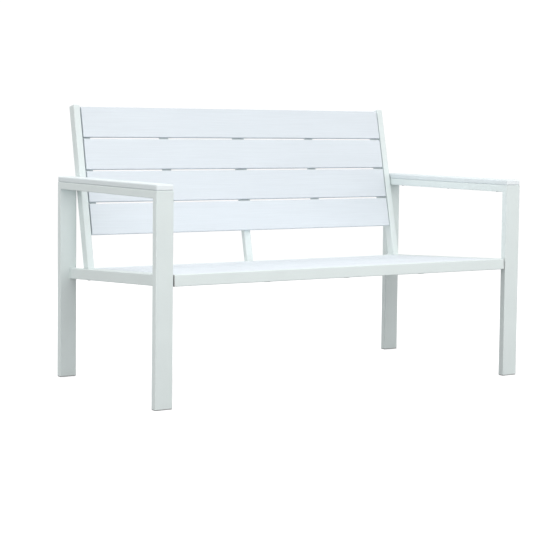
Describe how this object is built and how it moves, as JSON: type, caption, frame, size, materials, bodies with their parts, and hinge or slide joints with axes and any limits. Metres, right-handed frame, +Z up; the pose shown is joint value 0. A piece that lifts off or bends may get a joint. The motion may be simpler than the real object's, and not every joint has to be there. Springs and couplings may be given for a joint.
{
  "type": "garden bench",
  "caption": "Garden bench with arms: white powder-coated flat steel tube frames, a sloping seat and a reclined backrest of white wood-look plastic planks.",
  "frame": {"origin": "on the ground, at the centre of the bench's outer box", "axes": "+X along the bench to the right as seen from the front, +Y from the front to the back, +Z up"},
  "size_m": [1.2, 0.64, 0.78],
  "materials": {
    "frame_steel": "white powder coat with a fine orange-peel texture, satin",
    "plank_plastic": "white polyethylene with a fine lengthwise brushed wood grain, matt",
    "plug_plastic": "white moulded polyethylene, slightly textured",
    "fastener_steel": "zinc-plated steel"
  },
  "bodies": {
    "root": {"arm_rail_left": "frame_steel", "arm_rail_right": "frame_steel", "armrest_board_left": "plank_plastic", "armrest_board_right": "plank_plastic", "armrest_screws": "fastener_steel", "back_bar_centre": "frame_steel", "back_bar_left": "frame_steel", "back_bar_right": "frame_steel", "back_end_bar_left": "frame_steel", "back_end_bar_right": "frame_steel", "back_post_cap_centre": "plug_plastic", "back_post_cap_left": "plug_plastic", "back_post_cap_right": "plug_plastic", "back_post_centre": "frame_steel", "back_post_left": "frame_steel", "back_post_right": "frame_steel", "back_slat_1": "plank_plastic", "back_slat_2": "plank_plastic", "back_slat_3": "plank_plastic", "back_slat_4": "plank_plastic", "back_slat_screws": "fastener_steel", "bolt_washers": "fastener_steel", "foot_plug_front_left": "plug_plastic", "foot_plug_front_right": "plug_plastic", "foot_plug_rear_left": "plug_plastic", "foot_plug_rear_right": "plug_plastic", "frame_spacers": "plug_plastic", "front_leg_left": "frame_steel", "front_leg_right": "frame_steel", "post_base_bolts": "fastener_steel", "post_foot_plate_centre": "frame_steel", "post_foot_plate_left": "frame_steel", "post_foot_plate_right": "frame_steel", "rear_leg_left": "frame_steel", "rear_leg_right": "frame_steel", "rivet_nuts": "fastener_steel", "seat_bar_centre": "frame_steel", "seat_bar_left": "frame_steel", "seat_bar_right": "frame_steel", "seat_cross_rail_centre": "frame_steel", "seat_cross_rail_left": "frame_steel", "seat_cross_rail_right": "frame_steel", "seat_end_bar_left": "frame_steel", "seat_end_bar_right": "frame_steel", "seat_front_rail": "frame_steel", "seat_front_rail_plugs": "plug_plastic", "seat_rear_rail": "frame_steel", "seat_side_rail_left": "frame_steel", "seat_side_rail_plugs": "plug_plastic", "seat_side_rail_right": "frame_steel", "seat_slat_1": "plank_plastic", "seat_slat_2": "plank_plastic", "seat_slat_3": "plank_plastic", "seat_slat_4": "plank_plastic", "seat_slat_5": "plank_plastic", "seat_slat_screws": "fastener_steel", "seat_support_rail_left": "frame_steel", "seat_support_rail_right": "frame_steel", "side_frame_bolts": "fastener_steel"}
  },
  "joints": []
}
